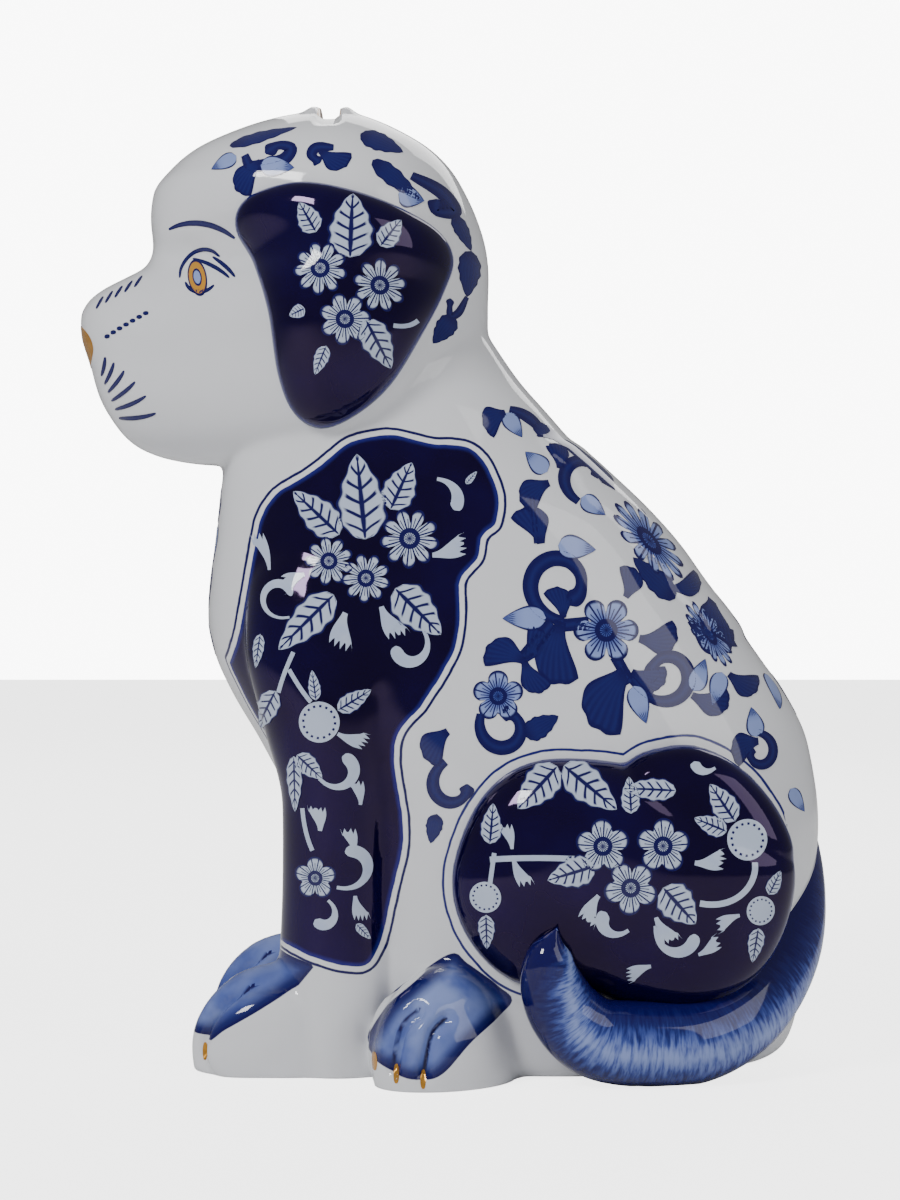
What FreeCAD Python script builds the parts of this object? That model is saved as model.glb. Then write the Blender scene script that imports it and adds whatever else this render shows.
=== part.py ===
import FreeCAD, Part
import math
import os

# Sitting puppy money bank in slip-cast porcelain, built from the castings that a potter lutes together.
# Millimetres, +Z up. The puppy looks along -X and its left side faces -Y. The origin is on the resting
# plane, on the plane of symmetry. Each function below makes one casting; neighbouring castings meet
# face to face, where wet slip joins them. The rubber stopper is the one loose piece.

V = FreeCAD.Vector

# ---- driving dimensions ----
crown_height = 229.0  # top of the head above the table
wall = 4.5  # thickness of the cast shell
slot_width = 5.0  # coin slot, measured along X
slot_length = 36.0  # coin slot, measured across the head
slot_x = -29.8
ear_thickness = 6.0
leg_offset = 29.5  # centre of each foreleg from the plane of symmetry
vent_radius = 1.5  # lets the closed leg casting breathe in the kiln
neck_x = -22.0
neck_radius = 22.0  # passage between head and chest, for the coins
counterbore_depth = 3.5  # sets the stopper's flange back from the table
stopper_x = 27.0
stopper_radius = 19.0
stopper_clearance = 0.2
stopper_flange_radius = 23.0
stopper_flange = 2.0
stopper_length = 10.0  # length of the plug above its flange
floor_height = counterbore_depth + wall  # inside face of the base

# ---- sections of the torso: height, front X, back X, half width ----
torso_sections = [
    (0.0, -21.0, 77.0, 39.0),
    (3.0, -25.0, 82.0, 43.0),
    (14.0, -27.0, 86.0, 46.0),
    (34.0, -28.0, 88.5, 47.0),
    (56.0, -34.0, 90.0, 46.5),
    (72.0, -45.0, 88.0, 45.5),
    (86.0, -53.5, 82.0, 44.0),
    (98.0, -58.0, 74.5, 43.0),
    (110.0, -59.3, 65.5, 42.0),
    (122.0, -58.0, 56.5, 40.5),
    (134.0, -56.5, 45.5, 38.5),
    (146.0, -54.0, 32.5, 36.5),
    (156.0, -50.0, 23.6, 34.5),
    (166.0, -46.0, 15.5, 32.0),
    (173.0, -42.0, 10.5, 29.0),
]

# ---- sections of the head: height, front X, back X, half width of muzzle, half width of skull ----
head_sections = [
    (143.7, -69.0, 3.0, 13.0, 29.0),
    (148.0, -77.5, 8.0, 18.0, 35.0),
    (156.0, -84.0, 9.3, 21.5, 39.0),
    (166.0, -88.0, 9.3, 23.0, 41.0),
    (176.0, -90.5, 9.3, 24.0, 42.0),
    (182.0, -89.3, 9.3, 23.5, 42.3),
    (187.0, -82.5, 9.4, 23.5, 42.5),
    (191.0, -75.8, 9.5, 26.0, 42.5),
    (196.0, -73.2, 8.9, 29.0, 42.5),
    (204.0, -73.3, 6.5, 32.0, 41.5),
    (212.0, -70.4, 2.6, 30.0, 38.0),
    (219.0, -63.5, -3.5, 25.0, 32.0),
    (223.0, -56.5, -10.0, 19.0, 26.0),
    (226.5, -47.0, -17.0, 14.0, 19.0),
    (crown_height, -38.0, -24.0, 6.0, 8.0),
]

# ---- outline of the ear flap seen from the side: X, Z ----
ear_outline = [
    (-34.9, 206.6), (-23.1, 204.6), (-11.3, 200.7), (-1.5, 195.3), (0.9, 190.0), (-1.2, 182.6),
    (-5.4, 173.8), (-13.3, 160.4), (-22.0, 152.8), (-30.5, 150.0), (-36.9, 154.6), (-40.0, 163.5),
    (-42.2, 176.9), (-46.0, 188.0), (-49.6, 197.0), (-45.4, 204.2),
]

# ---- foreleg column: height, centre X, distance from centre plane, radius along X, radius along Y ----
foreleg_sections = [
    (0.0, -26.0, leg_offset, 13.5, 12.5),
    (4.0, -26.0, leg_offset, 15.5, 14.5),
    (28.0, -26.0, leg_offset, 14.2, 13.8),
    (58.0, -26.5, leg_offset + 0.5, 14.8, 14.0),
    (82.0, -27.5, leg_offset + 0.5, 18.0, 14.5),
    (104.0, -27.0, leg_offset - 1.0, 19.0, 14.5),
    (122.0, -24.0, leg_offset - 6.0, 14.0, 13.5),
]
leg_void_sections = [
    (7.0, -26.0, leg_offset, 8.0, 7.5),
    (30.0, -26.0, leg_offset + 0.5, 9.0, 8.5),
    (58.0, -27.0, leg_offset + 2.5, 8.5, 7.5),
]

# ---- spine of the tail: X, Y, Z, radius; it starts on the rump and curls round the left haunch ----
tail_spine = [
    (81.0, 8.0, 60.0, 6.0),
    (83.5, -5.0, 43.0, 8.4),
    (80.5, -22.0, 26.0, 9.4),
    (69.0, -38.0, 14.5, 9.8),
    (53.0, -48.5, 9.8, 9.8),
    (37.0, -53.0, 10.0, 9.4),
    (26.5, -55.0, 16.0, 8.2),
    (22.5, -55.5, 25.0, 6.4),
    (23.0, -54.5, 34.0, 3.0),
]


def closed_curve(points):
    """One smooth closed wire through the points."""
    curve = Part.BSplineCurve()
    curve.interpolate(Points=points, PeriodicFlag=True)
    return Part.Wire(curve.toShape())


def loft(wires):
    return Part.makeLoft(wires, True, False)


def oval_ring(height, front, back, half_width, squareness=0.86, count=12):
    """A rounded closed section, a little squarer than an ellipse."""
    middle = (front + back) / 2
    reach = (back - front) / 2
    points = []
    for i in range(count):
        angle = 2 * math.pi * i / count
        c, s = -math.cos(angle), math.sin(angle)
        points.append(
            V(
                middle + math.copysign(abs(c) ** squareness, c) * reach,
                math.copysign(abs(s) ** squareness, s) * half_width,
                height,
            )
        )
    return closed_curve(points)


def head_ring(height, front, back, muzzle, skull):
    """A section of the head: narrow at the muzzle, wide at the ears."""
    length = back - front
    half = [
        (front + 0.06 * length, 0.60 * muzzle),
        (front + 0.17 * length, 0.93 * muzzle),
        (front + 0.36 * length, 0.48 * (muzzle + skull)),
        (front + 0.62 * length, skull),
        (front + 0.87 * length, 0.72 * skull),
    ]
    points = [V(front, 0, height)]
    points += [V(x, y, height) for x, y in half]
    points += [V(back, 0, height)]
    points += [V(x, -y, height) for x, y in reversed(half)]
    return closed_curve(points)


def column(sections, side):
    """A loft of upright ovals, on the left (side -1) or the right (side +1)."""
    wires = []
    for height, x, offset, radius_x, radius_y in sections:
        points = [
            V(
                x - radius_x * math.cos(2 * math.pi * i / 10),
                side * offset + radius_y * math.sin(2 * math.pi * i / 10),
                height,
            )
            for i in range(10)
        ]
        wires.append(closed_curve(points))
    return loft(wires)


def ellipsoid(centre, radii):
    ball = Part.makeSphere(1.0)
    stretch = FreeCAD.Matrix()
    stretch.scale(V(*radii))
    stretched = ball.transformGeometry(stretch)
    stretched.translate(V(*centre))
    return stretched


def below(height):
    """Everything under a level plane."""
    span = 400.0
    return Part.makeBox(span, span, span, V(-span / 2, -span / 2, height - span))


def above_table(shape):
    return shape.cut(below(0.0))


def mirrored(shape):
    return shape.mirror(V(0, 0, 0), V(0, 1, 0))


def largest_solid(shape):
    """The main body of a cut, without the crumbs that grazing surfaces leave."""
    return max(shape.Solids, key=lambda solid: solid.Volume)


def head_block(grow=0.0):
    return loft([head_ring(z, f - grow, b + grow, m + grow, s + grow) for z, f, b, m, s in head_sections])


def torso_block():
    return loft([oval_ring(*section) for section in torso_sections])


def torso_chamber():
    """The hollow of the chest and belly that holds the coins."""
    slope_allowance = 1.35  # the back leans, so a level section needs more than the wall thickness
    inner = []
    for z, front, back, half in torso_sections:
        if floor_height <= z <= 134.0:
            inner.append((z, front + wall * slope_allowance, back - wall * slope_allowance, half - wall))
    lowest = inner[0]
    inner[0] = (floor_height, lowest[1], lowest[2], lowest[3])
    return loft([oval_ring(*section) for section in inner])


def head_hollow():
    """The space inside the skull and muzzle."""
    floor, roof = 148.0, 224.0
    rings = []
    for z, front, back, muzzle, skull in head_sections:
        if floor <= z <= roof:
            rings.append(head_ring(z, front + wall + 0.5, back - wall - 0.5, muzzle - wall, skull - wall - 0.5))
    return loft(rings)


def neck_passage():
    return Part.makeCylinder(neck_radius, 30.0, V(neck_x, 0, 128.0), V(0, 0, 1))


def make_torso(head):
    """Chest, back and belly in one casting, open below and at the neck."""
    body = torso_block().cut(head).cut(below(floor_height))
    body = body.cut(torso_chamber()).cut(neck_passage())
    for side in (-1, 1):
        body = body.cut(vent(side))
    return largest_solid(body)


def make_base():
    """The slab that closes the belly, with a counterbored hole for the stopper."""
    slab = torso_block().common(below(floor_height))
    hole = Part.makeCylinder(stopper_radius, 2 * floor_height, V(stopper_x, 0, -1), V(0, 0, 1))
    seat_radius = stopper_flange_radius + 1.0
    seat = Part.makeCylinder(seat_radius, counterbore_depth, V(stopper_x, 0, 0), V(0, 0, 1))
    return slab.cut(hole).cut(seat)


def vent(side):
    """The pin hole that joins a leg's closed hollow to the coin chamber."""
    return Part.makeCylinder(vent_radius, 34.0, V(-26.0, side * leg_offset, 50.0), V(0.8, -0.6 * side, 0.0))


def make_head():
    """Skull and muzzle in one hollow casting, with the coin slot across the crown."""
    block = head_block()
    head = block.cut(head_hollow()).cut(coin_slot()).cut(neck_passage())
    return largest_solid(head), block


def coin_slot():
    """A straight slot with round ends, through the crown."""
    half = slot_length / 2 - slot_width / 2
    bottom, height = 200.0, 40.0
    bar = Part.makeBox(slot_width, 2 * half, height, V(slot_x - slot_width / 2, -half, bottom))
    for y in (-half, half):
        bar = bar.fuse(Part.makeCylinder(slot_width / 2, height, V(slot_x, y, bottom), V(0, 0, 1)))
    return bar


def make_left_ear(head):
    """A flap of even thickness that follows the side of the head."""
    outline = closed_curve([V(x, -80.0, z) for x, z in ear_outline])
    prism = Part.Face(outline).extrude(V(0, 60.0, 0))
    flap = prism.common(head_block(ear_thickness)).cut(head)
    return largest_solid(flap)


def make_left_foreleg(torso, head):
    """Upper leg, leg and paw, hollow below the shoulder."""
    leg = column(foreleg_sections, -1)
    paw = ellipsoid((-38.0, -leg_offset + 1.0, 8.0), (24.5, 15.0, 19.5))
    leg = above_table(leg.fuse(paw)).cut(torso).cut(head)
    leg = leg.cut(column(leg_void_sections, -1)).cut(vent(-1))
    return largest_solid(leg)


def make_left_haunch(torso):
    """The raised thigh, luted onto the side of the torso."""
    dome = ellipsoid((40.0, -38.0, 45.5), (40.5, 20.0, 31.0))
    return largest_solid(dome.cut(torso))


def make_left_hind_paw(torso, haunch, foreleg):
    paw = ellipsoid((-1.5, -46.0, 5.0), (18.0, 15.0, 22.5))
    return largest_solid(above_table(paw).cut(torso).cut(haunch).cut(foreleg))


def make_tail(torso, others):
    """A tapering roll of clay laid along the foot of the left haunch."""
    rings = []
    for i, (x, y, z, radius) in enumerate(tail_spine):
        before = V(*tail_spine[max(i - 1, 0)][:3])
        after = V(*tail_spine[min(i + 1, len(tail_spine) - 1)][:3])
        rings.append(Part.Wire(Part.makeCircle(radius, V(x, y, z), after - before)))
    tail = above_table(loft(rings)).cut(torso)
    for piece in others:
        tail = tail.cut(piece)
    return largest_solid(tail)


def make_stopper():
    """Soft rubber plug: a flange under the floor, a ribbed plug in the hole and a finger bar to pull it."""
    seat = counterbore_depth
    underside = seat - stopper_flange
    plug_radius = stopper_radius - stopper_clearance
    groove_depth, groove_width = 0.8, 2.2
    flange = Part.makeCylinder(stopper_flange_radius, stopper_flange, V(stopper_x, 0, underside), V(0, 0, 1))
    plug = Part.makeCylinder(plug_radius, stopper_length, V(stopper_x, 0, seat), V(0, 0, 1))
    for height in (seat + 2.0, seat + 6.0):
        ring = Part.makeCylinder(plug_radius + 1.0, groove_width, V(stopper_x, 0, height), V(0, 0, 1))
        core = Part.makeCylinder(plug_radius - groove_depth, groove_width, V(stopper_x, 0, height), V(0, 0, 1))
        plug = plug.cut(ring.cut(core))
    well = Part.makeCylinder(14.0, 8.0, V(stopper_x, 0, 0), V(0, 0, 1))
    bar = Part.makeBox(4.0, 30.0, 3.0, V(stopper_x - 2.0, -15.0, underside))
    return flange.fuse(plug).cut(well.cut(bar)).removeSplitter()


def main():
    head, head_solid_block = make_head()
    torso = make_torso(head_solid_block)
    torso_solid_block = torso_block()
    left_ear = make_left_ear(head_solid_block)
    left_foreleg = make_left_foreleg(torso_solid_block, head_solid_block)
    left_haunch = make_left_haunch(torso_solid_block)
    left_hind_paw = make_left_hind_paw(torso_solid_block, left_haunch, left_foreleg)
    tail = make_tail(torso_solid_block, [left_haunch, mirrored(left_haunch), left_hind_paw])
    right_foreleg = largest_solid(mirrored(left_foreleg).cut(torso_solid_block))

    parts = {
        "torso_casting": torso,
        "base_slab": make_base(),
        "head_casting": head,
        "left_ear": left_ear,
        "right_ear": mirrored(left_ear),
        "left_foreleg": left_foreleg,
        "right_foreleg": right_foreleg,
        "left_haunch": left_haunch,
        "right_haunch": mirrored(left_haunch),
        "left_hind_paw": left_hind_paw,
        "right_hind_paw": mirrored(left_hind_paw),
        "tail": tail,
        "rubber_stopper": make_stopper(),
    }
    os.makedirs("parts", exist_ok=True)
    for name, shape in parts.items():
        shape.exportStep(f"parts/{name}.step")
        box = shape.BoundBox
        print(
            f"{name}: {len(shape.Solids)} solid, {shape.Volume / 1000:.1f} cm3, valid {shape.isValid()}, "
            f"X {box.XMin:.1f}..{box.XMax:.1f} Y {box.YMin:.1f}..{box.YMax:.1f} Z {box.ZMin:.1f}..{box.ZMax:.1f}"
        )


main()
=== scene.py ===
import math

import bmesh
import bpy
import numpy as np
from mathutils import Matrix, Vector
from mathutils.bvhtree import BVHTree
from mathutils.interpolate import poly_3d_calc


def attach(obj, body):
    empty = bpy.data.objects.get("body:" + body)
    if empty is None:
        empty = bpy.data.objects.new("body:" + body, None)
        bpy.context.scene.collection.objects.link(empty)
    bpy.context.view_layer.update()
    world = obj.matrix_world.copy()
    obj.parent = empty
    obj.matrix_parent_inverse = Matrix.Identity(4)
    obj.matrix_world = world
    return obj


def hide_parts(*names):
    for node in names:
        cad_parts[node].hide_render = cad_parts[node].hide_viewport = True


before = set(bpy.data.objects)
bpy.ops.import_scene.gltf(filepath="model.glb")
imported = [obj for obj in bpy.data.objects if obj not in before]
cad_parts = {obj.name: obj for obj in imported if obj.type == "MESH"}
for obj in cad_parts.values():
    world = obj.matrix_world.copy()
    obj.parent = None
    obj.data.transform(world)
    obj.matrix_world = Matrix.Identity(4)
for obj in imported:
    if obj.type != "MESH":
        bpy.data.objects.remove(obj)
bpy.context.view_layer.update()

mm = 0.001  # every size below is in millimetres, the file's own units are metres


def deselectAll():
    bpy.ops.object.select_all(action="DESELECT")


def activate(*pieces):
    deselectAll()
    for piece in pieces:
        piece.select_set(True)
    bpy.context.view_layer.objects.active = pieces[0]


def applyModifier(piece, kind, **settings):
    modifier = piece.modifiers.new(kind.lower(), kind)
    for key, value in settings.items():
        setattr(modifier, key, value)
    activate(piece)
    bpy.ops.object.modifier_apply(modifier=modifier.name)


def readPoints(piece):
    points = np.empty(len(piece.data.vertices) * 3)
    piece.data.vertices.foreach_get("co", points)
    return points.reshape(-1, 3) / mm


def writePoints(piece, points):
    piece.data.vertices.foreach_set("co", (np.asarray(points) * mm).ravel())
    piece.data.update()


def readNormals(piece):
    normals = np.empty(len(piece.data.vertices) * 3)
    piece.data.vertices.foreach_get("normal", normals)
    return normals.reshape(-1, 3)


def copyPiece(piece, name):
    twin = piece.copy()
    twin.data = piece.data.copy()
    twin.name = name
    bpy.context.collection.objects.link(twin)
    return twin


def joinPieces(name, pieces):
    activate(*pieces)
    if len(pieces) > 1:
        bpy.ops.object.join()
    whole = bpy.context.view_layer.objects.active
    whole.name = name
    whole.data.name = name
    return whole


def outwards(piece):
    activate(piece)
    bpy.ops.object.mode_set(mode="EDIT")
    bpy.ops.mesh.select_all(action="SELECT")
    bpy.ops.mesh.remove_doubles(threshold=1e-6)
    bpy.ops.mesh.normals_make_consistent(inside=False)
    bpy.ops.object.mode_set(mode="OBJECT")


def slopes(knots, values):
    # slopes of a curve that never overshoots its rows
    step = np.diff(knots)[:, None]
    rise = np.diff(values, axis=0) / step
    inner = np.zeros_like(values)
    same = rise[1:] * rise[:-1] > 0
    w1 = 2 * step[1:] + step[:-1]
    w2 = step[1:] + 2 * step[:-1]
    with np.errstate(divide="ignore", invalid="ignore"):
        mean = (w1 + w2) / (w1 / rise[:-1] + w2 / rise[1:])
    inner[1:-1] = np.where(same, mean, 0)
    inner[0] = rise[0]
    inner[-1] = rise[-1]
    return inner


def smoothRows(rows, at):
    # the columns of a table of sections, read smoothly at any height in its first column
    table = np.array(rows, dtype=float)
    knots, values = table[:, 0], table[:, 1:]
    tangents = slopes(knots, values)
    at = np.clip(at, knots[0], knots[-1])
    i = np.clip(np.searchsorted(knots, at) - 1, 0, len(knots) - 2)
    h = (knots[i + 1] - knots[i])[:, None]
    t = ((at - knots[i]) / (knots[i + 1] - knots[i]))[:, None]
    return (
        (2 * t**3 - 3 * t**2 + 1) * values[i]
        + (t**3 - 2 * t**2 + t) * h * tangents[i]
        + (3 * t**2 - 2 * t**3) * values[i + 1]
        + (t**3 - t**2) * h * tangents[i + 1]
    )


def smoothLine(points, count, closed=False):
    # a smooth line through a few given points, cut into even steps
    p = np.array(points, dtype=float)
    if closed:
        p = np.vstack([p[-2:], p, p[:3]]) if len(p) > 2 else p
        first, last = 2, len(p) - 3
    else:
        p = np.vstack([2 * p[0] - p[1], p, 2 * p[-1] - p[-2]])
        first, last = 1, len(p) - 2
    fine = []
    for i in range(first, last):
        for t in np.linspace(0, 1, 24, endpoint=False):
            a, b, c, d = p[i - 1], p[i], p[i + 1], p[i + 2]
            fine.append(
                0.5 * (
                    2 * b + (c - a) * t + (2 * a - 5 * b + 4 * c - d) * t**2 + (3 * b - a - 3 * c + d) * t**3
                )
            )
    fine.append(p[last])
    fine = np.array(fine)
    length = np.concatenate([[0], np.cumsum(np.linalg.norm(np.diff(fine, axis=0), axis=1))])
    even = np.linspace(0, length[-1], count, endpoint=not closed)
    return np.stack([np.interp(even, length, fine[:, k]) for k in range(fine.shape[1])], axis=1)


def smoothStep(low, high, value):
    t = np.clip((value - low) / (high - low), 0, 1)
    return t * t * (3 - 2 * t)


# clay shapes: each starts as a ball and is pressed to its sections

def ball(name, segments=64, rings=48):
    deselectAll()
    bpy.ops.mesh.primitive_uv_sphere_add(segments=segments, ring_count=rings, radius=mm)
    piece = bpy.context.active_object
    piece.name = name
    return piece


def castLoft(name, rows, ring, segments=96, rings=110):
    piece = ball(name, segments, rings)
    p = readPoints(piece)
    angle = np.arctan2(p[:, 1], -p[:, 0])
    along = np.arccos(np.clip(-p[:, 2], -1, 1)) / math.pi
    cap = 0.08
    spread = np.clip(np.minimum(along, 1 - along) / cap, 0, 1)
    along = np.clip((along - cap) / (1 - 2 * cap), 0, 1)
    height = rows[0][0] + along * (rows[-1][0] - rows[0][0])
    x, y, middleX, middleY = ring(smoothRows(rows, height), angle)
    writePoints(
        piece, np.stack([middleX + spread * (x - middleX), middleY + spread * (y - middleY), height], 1),
    )
    return piece


def ovalRing(squareness):
    def ring(row, angle):
        front, back, half = row[:, 0], row[:, 1], row[:, 2]
        middle, reach = (front + back) / 2, (back - front) / 2
        c, s = np.cos(angle), np.sin(angle)
        x = middle - np.sign(c) * np.abs(c) ** squareness * reach
        y = np.sign(s) * np.abs(s) ** squareness * half
        return x, y, middle, np.zeros_like(middle)
    return ring


def headRing(row, angle):
    front, back, muzzle, skull, noseRound = row.T
    middle, reach = (front + back) / 2, (back - front) / 2
    x = middle - np.cos(angle) * reach
    u = (x - front) / (back - front)
    half = muzzle + (skull - muzzle) * smoothStep(0.12, 0.62, u)
    nose = np.clip(u / noseRound, 0, 1)
    nape = np.clip((u - 0.58) / 0.42, 0, 1)
    half = half * (1 - (1 - nose) ** 2.3) ** 0.5 * (1 - nape**2.2) ** 0.5
    return x, np.sign(np.sin(angle)) * half, middle, np.zeros_like(middle)


def columnRing(side):
    def ring(row, angle):
        x, offset, radiusX, radiusY = row.T
        c, s = np.cos(angle), np.sin(angle)
        return x - c * radiusX, side * offset + s * radiusY, x, side * offset
    return ring


def ellipsoid(name, centre, radii, turn=(0, 0, 0), segments=48, rings=32):
    piece = ball(name, segments, rings)
    turned = Matrix.Rotation(math.radians(turn[2]), 3, "Z") @ Matrix.Rotation(math.radians(turn[1]), 3, "Y")
    turned = turned @ Matrix.Rotation(math.radians(turn[0]), 3, "X")
    points = (readPoints(piece) * np.array(radii)) @ np.array(turned).T + np.array(centre)
    writePoints(piece, points)
    return piece


def roll(name, rows, segments=48, rings=140):
    # a roll of clay along a line of centres, each with its radius
    piece = ball(name, segments, rings)
    p = readPoints(piece)
    angle = np.arctan2(p[:, 1], p[:, 0])
    along = np.arccos(np.clip(-p[:, 2], -1, 1)) / math.pi
    line = smoothLine(rows, 400)
    centres, radii = line[:, :3], line[:, 3]
    tangents = np.gradient(centres, axis=0)
    tangents /= np.linalg.norm(tangents, axis=1)[:, None]
    across = np.cross(tangents, np.array([0.15, 0.1, 1.0]))
    across /= np.linalg.norm(across, axis=1)[:, None]
    upward = np.cross(across, tangents)
    cap = 0.05
    swell = np.sin(np.clip(np.minimum(along, 1 - along) / cap, 0, 1) * math.pi / 2)
    at = np.clip(along, 0, 1) * 399
    pick = lambda data: np.stack([np.interp(at, np.arange(400), data[:, k]) for k in range(3)], axis=1)
    radius = np.interp(at, np.arange(400), radii) * swell
    points = pick(centres) + radius[:, None] * (
        np.cos(angle)[:, None] * pick(across) + np.sin(angle)[:, None] * pick(upward)
    )
    writePoints(piece, points)
    around = np.arctan2(p[:, 1], -p[:, 0])
    for label, values in (("around", around), ("along", along)):
        layer = piece.data.attributes.new(label, "FLOAT", "POINT")
        layer.data.foreach_set("value", values)
    return piece


def treeOf(piece):
    mesh = piece.data
    points = readPoints(piece)
    faces = [tuple(face.vertices) for face in mesh.polygons]
    return BVHTree.FromPolygons([Vector(p) for p in points], faces)


def sideDepth(tree, x, z, side):
    # how far out the surface lies at each x, z, seen from one side
    depth = np.full(len(x), np.nan)
    for i in range(len(x)):
        hit = tree.ray_cast(Vector((x[i], side * 300.0, z[i])), Vector((0, -side, 0)))
        if hit[0] is not None:
            depth[i] = hit[0].y
    return depth


def pillow(name, outline, centre, base, thickness, power, side, segments=160, rings=64):
    # a raised pad: the outline seen from the side, laid on a base surface and rounded towards its rim
    piece = ball(name, segments, rings)
    p = readPoints(piece)
    rim = smoothLine(outline, 720, closed=True) - np.array(centre)
    rimAngle = np.unwrap(np.arctan2(rim[:, 1], rim[:, 0]))
    if rimAngle[-1] < rimAngle[0]:
        rim, rimAngle = rim[::-1], rimAngle[::-1]
    rimRadius = np.linalg.norm(rim, axis=1)
    angle = np.arctan2(p[:, 1], p[:, 0])
    turn = (angle - rimAngle[0]) % (2 * math.pi)
    reach = np.interp(
        turn, np.append(rimAngle - rimAngle[0], 2 * math.pi), np.append(rimRadius, rimRadius[0]),
    )
    r = np.clip(np.hypot(p[:, 0], p[:, 1]), 0, 1)
    x = centre[0] + np.cos(angle) * r * reach
    z = centre[1] + np.sin(angle) * r * reach
    depth = base(x, z)
    lift = (1 - r**power) ** 0.5
    outer = p[:, 2] > 0
    y = depth + side * np.where(outer, thickness * lift, -3.0 * lift)
    writePoints(piece, np.stack([x, y, z], 1))
    outwards(piece)
    return piece


# the puppy's fused clay body

torso = {
    # height, front, back, half width
    "sections": [
        (0, -24, 78, 43), (3, -28, 82, 45.5), (15, -32, 85.5, 47.5), (35, -33, 88, 48.5),
        (56, -37, 90, 48), (75, -46, 87.5, 47), (88, -53.6, 81.5, 45.5), (97, -57.6, 75, 44.5),
        (106, -59.3, 68.6, 43.5), (114, -58.8, 62.4, 42.5), (123, -57.6, 56, 41.5), (132, -56.6, 48, 40),
        (141, -55.6, 38.5, 38), (149, -54, 29.8, 36.5), (156, -50, 23.6, 35), (163, -47, 17.4, 33),
        (171, -44, 11.8, 30.5), (180, -40, 6, 27),
    ],
    "squareness": 0.88,
}
head = {
    # height, front, back, half width of muzzle, half width of skull, how long the nose's rounding is
    "sections": [
        (143.2, -62, -8, 11, 20, 0.4), (144.5, -69.5, 0, 15, 27, 0.35), (148, -77.6, 5, 19, 33, 0.3),
        (153, -82.3, 8, 21.5, 37.5, 0.27), (160, -86.2, 9.3, 23, 40, 0.25),
        (168, -88.4, 9.3, 23.5, 41.5, 0.24), (174.7, -90.4, 9.3, 23.5, 42.2, 0.24),
        (179, -90.7, 9.4, 22.5, 42.4, 0.24), (182.5, -89.2, 9.4, 21.5, 42.5, 0.25),
        (185.5, -85.8, 9.5, 21, 42.5, 0.27), (188.5, -80, 9.6, 21.5, 42.5, 0.3),
        (191.5, -74.6, 9.5, 24, 42.5, 0.34), (196, -72.8, 8.9, 28, 42.5, 0.36),
        (203, -73.4, 6.8, 32.5, 42, 0.38), (209, -72.8, 4.1, 33, 40.5, 0.4),
        (214, -69.2, 1.2, 31, 37.5, 0.42), (219, -63.6, -3.5, 27.5, 33, 0.44),
        (223.4, -54.8, -10.4, 22, 26, 0.46), (227, -45, -18, 14, 17, 0.48),
        (229.6, -34, -25.5, 4, 5, 0.5),
    ],
}
foreleg = {
    # height, centre from the front, distance from the middle, radius front to back, radius across
    "column": [
        (-4, -26, 29, 14.5, 14), (6, -26, 29, 15, 14.5), (28, -25.6, 29, 14.4, 14),
        (45, -25.4, 29.2, 14, 13.8), (62, -25.2, 29.5, 14.2, 14), (80, -26.5, 29.5, 17.2, 14.6),
        (98, -27.5, 28.5, 20.5, 15), (114, -26.5, 25.5, 21, 14.5), (130, -24, 20, 17, 12.5),
    ],
    "paw": {"centre": (-38.5, 29, 5.5), "radii": (22.5, 14.2, 19.5)},
    "toes": 4,
    "toeSpacing": 7.2,
    "toeRadii": (13.5, 4.1, 10.5),
    "toeCentre": (-47.5, 29, 8.5),
}
hindPaw = {
    "body": {"centre": (-1, 45.5, 5), "radii": (18.5, 13.5, 21.5), "turn": 38},
    # x, distance from the middle, of each toe's centre
    "toes": [(-11.8, 43.5), (-8.3, 50.0), (-2.0, 55.0)],
    "toeRadii": (8.4, 4.5, 13.0),
    "toeHeight": 7.5,
}


def buildClay():
    pieces = [
        castLoft("clay_torso", torso["sections"], ovalRing(torso["squareness"])),
        castLoft("clay_head", head["sections"], headRing, segments=128, rings=128),
    ]
    for side in (-1, 1):
        pieces.append(castLoft("clay_leg", foreleg["column"], columnRing(side), 64, 60))
        x, y, z = foreleg["paw"]["centre"]
        pieces.append(ellipsoid("clay_paw", (x, side * y, z), foreleg["paw"]["radii"]))
        x, y, z = foreleg["toeCentre"]
        for i in range(foreleg["toes"]):
            offset = (i - (foreleg["toes"] - 1) / 2) * foreleg["toeSpacing"]
            back = 0.035 * offset**2
            pieces.append(
                ellipsoid(
                    "clay_toe", (x + back, side * y + offset, z), foreleg["toeRadii"], turn=(0, -28, 0),
                )
            )
        x, y, z = hindPaw["body"]["centre"]
        turn = hindPaw["body"]["turn"] * -side
        pieces.append(
            ellipsoid("clay_hind_paw", (x, side * y, z), hindPaw["body"]["radii"], turn=(0, 0, turn)),
        )
        for x, y in hindPaw["toes"]:
            pieces.append(
                ellipsoid(
                    "clay_toe", (x, side * y, hindPaw["toeHeight"]), hindPaw["toeRadii"], turn=(0, 0, turn),
                )
            )
    for piece in pieces:
        outwards(piece)
    return joinPieces("clay_body", pieces)


def fuseClay(clay, voxel, rounds):
    applyModifier(clay, "REMESH", mode="VOXEL", voxel_size=voxel * mm)
    applyModifier(clay, "SMOOTH", factor=0.5, iterations=rounds)


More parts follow.
